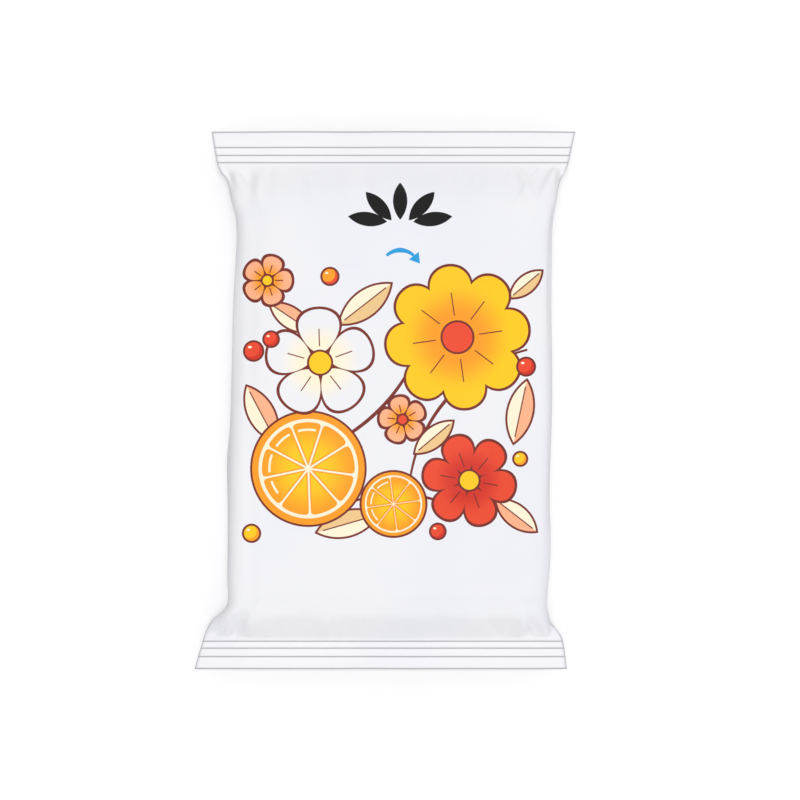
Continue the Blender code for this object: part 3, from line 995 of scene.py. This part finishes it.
def filmMaterial(name, printTree, finish):
    material = bpy.data.materials.new(name)
    material.use_nodes = True
    nodes = Nodes(material.node_tree)
    shader = material.node_tree.nodes["Principled BSDF"]
    shader.inputs["Metallic"].default_value = 0.0
    shader.inputs["IOR"].default_value = 1.48
    shader.inputs["Coat Weight"].default_value = finish["coat"]
    shader.inputs["Coat Roughness"].default_value = finish["coatRoughness"]
    where = nodes.put("TexCoord").outputs["Object"]
    printed = material.node_tree.nodes.new("ShaderNodeGroup")
    printed.node_tree = printTree
    # the film is a touch thinner and bluer in soft patches
    patches = nodes.put("TexNoise", noise_dimensions="3D")
    for socketName, value in (("Vector", where), ("Scale", 26.0), ("Detail", 3.0), ("Roughness", 0.5)):
        nodes.give(patches.inputs[socketName], value)
    tone = nodes.ramp(patches.outputs["Fac"], 0.35, 0.7)
    tinted = nodes.put("Mix", data_type="RGBA", blend_type="MULTIPLY")
    nodes.give(tinted.inputs[0], nodes.math("MULTIPLY", tone, finish["patch"]))
    nodes.give(tinted.inputs[6], printed.outputs[0])
    nodes.give(tinted.inputs[7], (0.93, 0.94, 0.985, 1.0))
    nodes.give(shader.inputs["Base Color"], tinted.outputs[2])
    # handling marks in the gloss
    smear = nodes.put("TexNoise", noise_dimensions="3D")
    for socketName, value in (("Vector", where), ("Scale", 120.0), ("Detail", 4.0), ("Roughness", 0.6)):
        nodes.give(smear.inputs[socketName], value)
    rough = nodes.put("MapRange", smear.outputs["Fac"], 0.3, 0.75, *finish["roughness"])
    nodes.give(shader.inputs["Roughness"], rough.outputs[0])
    # fine crinkle, stretched along the web
    stretched = nodes.put("Mapping")
    nodes.give(stretched.inputs["Vector"], where)
    stretched.inputs["Scale"].default_value = (1.0, 0.45, 1.0)
    crinkle = nodes.put("TexNoise", noise_dimensions="3D")
    for socketName, value in (("Vector", stretched.outputs[0]), ("Scale", 320.0), ("Detail", 4.0)):
        nodes.give(crinkle.inputs[socketName], value)
    bump = nodes.put("Bump")
    bump.inputs["Strength"].default_value = 1.0
    bump.inputs["Distance"].default_value = finish["crinkle"]
    nodes.give(bump.inputs["Height"], crinkle.outputs["Fac"])
    last = bump
    if finish.get("knurl"):
        lines = nodes.put("TexWave", wave_type="BANDS", bands_direction="DIAGONAL")
        for socketName, value in (("Vector", where), ("Scale", 420.0), ("Distortion", 0.0)):
            nodes.give(lines.inputs[socketName], value)
        last = nodes.put("Bump")
        last.inputs["Distance"].default_value = finish["knurl"]
        nodes.give(last.inputs["Height"], lines.outputs["Fac"])
        nodes.give(last.inputs["Normal"], bump.outputs[0])
    nodes.give(shader.inputs["Normal"], last.outputs[0])
    print("material:", name)
    return material


finishes = {
    "printed film": {
        "coat": 0.07, "coatRoughness": 0.25, "patch": 0.5, "roughness": (0.33, 0.45), "crinkle": 0.00002,
    },
    "label film": {
        "coat": 0.2, "coatRoughness": 0.2, "patch": 0.4, "roughness": (0.29, 0.39), "crinkle": 0.000012,
    },
    "sealed film": {
        "coat": 0.2, "coatRoughness": 0.35, "patch": 0.5, "roughness": (0.36, 0.5), "crinkle": 0.00002,
        "knurl": 0.00006,
    },
}

printTree = printGroup()
printedFilm = filmMaterial("printed film", printTree, finishes["printed film"])
labelFilm = filmMaterial("label film", printTree, finishes["label film"])
sealedFilm = filmMaterial("sealed film", printTree, finishes["sealed film"])

bodyMesh = makePackBody()
pressFinBed(bodyMesh)
packTree = BVHTree.FromBMesh(bodyMesh)
labelMesh = makeLabel(packTree)
finishPiece("pack_body", bodyMesh, printedFilm, "printed_film", "sealed_pack")
finishPiece("pack_fin_seal", makeFinSeal(), sealedFilm, "printed_film", "sealed_pack")
finishPiece("pack_reseal_label", labelMesh, labelFilm, "label_film", "reseal_label")


# Studio: a pale floor under a sky that dims towards the horizon, one soft light from straight above,
# and low fills that cast no shadow.
studio = {
    "floorSize": 40.0,
    "floorDrop": 0.02,  # keeps the floor just clear of the pack's underside
    "floorColour": (0.9, 0.9, 0.905, 1.0),
    "floorBounce": (0.6, 0.6, 0.61, 1.0),  # what it throws back at the pack
    "floorGlow": 0.085,
    "skyStrength": (0.35, 0.59),  # at the horizon and overhead
    "backdrop": 1.0,  # how bright the sky looks beyond the floor
    "lights": [  # name, where from, degrees across, strength, casts shadows, shows in the gloss
        ("overhead light", (0.01, 0.04, 0.99), 24, 1.12, True, False),
        ("back fill", (0.1, 0.9, 0.42), 45, 0.68, False, False),
        ("front fill", (0.05, -0.9, 0.42), 45, 0.62, False, True),
        ("right fill", (0.9, 0.1, 0.42), 45, 0.18, False, False),
    ],
    "lens": 100.0,
    "cameraX": 3.86,
    "cameraHeight": 584.0,
}


def makeFloor():
    bm = bmesh.new()
    bmesh.ops.create_grid(bm, x_segments=2, y_segments=2, size=studio["floorSize"] / 2)
    mesh = bpy.data.meshes.new("floor")
    bm.to_mesh(mesh)
    bm.free()
    floor = bpy.data.objects.new("floor", mesh)
    floor.location.z = -studio["floorDrop"] * toMetres
    material = bpy.data.materials.new("pale floor")
    material.use_nodes = True
    shader = material.node_tree.nodes["Principled BSDF"]
    nodes = Nodes(material.node_tree)
    seen = nodes.put("LightPath").outputs["Is Camera Ray"]
    nodes.give(shader.inputs["Base Color"], nodes.mix(seen, studio["floorBounce"], studio["floorColour"]))
    shader.inputs["Roughness"].default_value = 0.9
    shader.inputs["Specular IOR Level"].default_value = 0.1
    shader.inputs["Emission Color"].default_value = (1, 1, 1, 1)
    shader.inputs["Emission Strength"].default_value = studio["floorGlow"]
    mesh.materials.append(material)
    bpy.context.scene.collection.objects.link(floor)


def makeLights():
    world = bpy.data.worlds.new("studio")
    world.use_nodes = True
    nodes = Nodes(world.node_tree)
    background = world.node_tree.nodes["Background"]
    background.inputs["Color"].default_value = (1, 1, 1, 1)
    seen = nodes.put("LightPath").outputs["Is Camera Ray"]
    upwards = nodes.put("SeparateXYZ", nodes.put("TexCoord").outputs["Generated"]).outputs[2]
    sky = nodes.put("MapRange", upwards, 0.0, 1.0, *studio["skyStrength"])
    strength = nodes.put("MapRange", seen, 0.0, 1.0, sky.outputs[0], studio["backdrop"])
    nodes.give(background.inputs["Strength"], strength.outputs[0])
    bpy.context.scene.world = world
    for name, fromWhere, spread, strength, shadow, inGloss in studio["lights"]:
        data = bpy.data.lights.new(name, "SUN")
        data.energy = strength
        data.angle = math.radians(spread)
        light = bpy.data.objects.new(name, data)
        light.rotation_euler = (-Vector(fromWhere)).to_track_quat("-Z", "Y").to_euler()
        data.use_shadow = shadow
        light.visible_glossy = inGloss
        bpy.context.scene.collection.objects.link(light)


def makeCamera():
    data = bpy.data.cameras.new("camera")
    data.lens = studio["lens"]
    data.sensor_width = 36.0
    data.clip_start, data.clip_end = 0.05, 30.0
    camera = bpy.data.objects.new("camera", data)
    camera.location = (studio["cameraX"] * toMetres, 0, studio["cameraHeight"] * toMetres)
    bpy.context.scene.collection.objects.link(camera)
    bpy.context.scene.camera = camera


makeFloor()
makeLights()
makeCamera()
bpy.context.scene.view_settings.view_transform = "Standard"
print("studio ready")
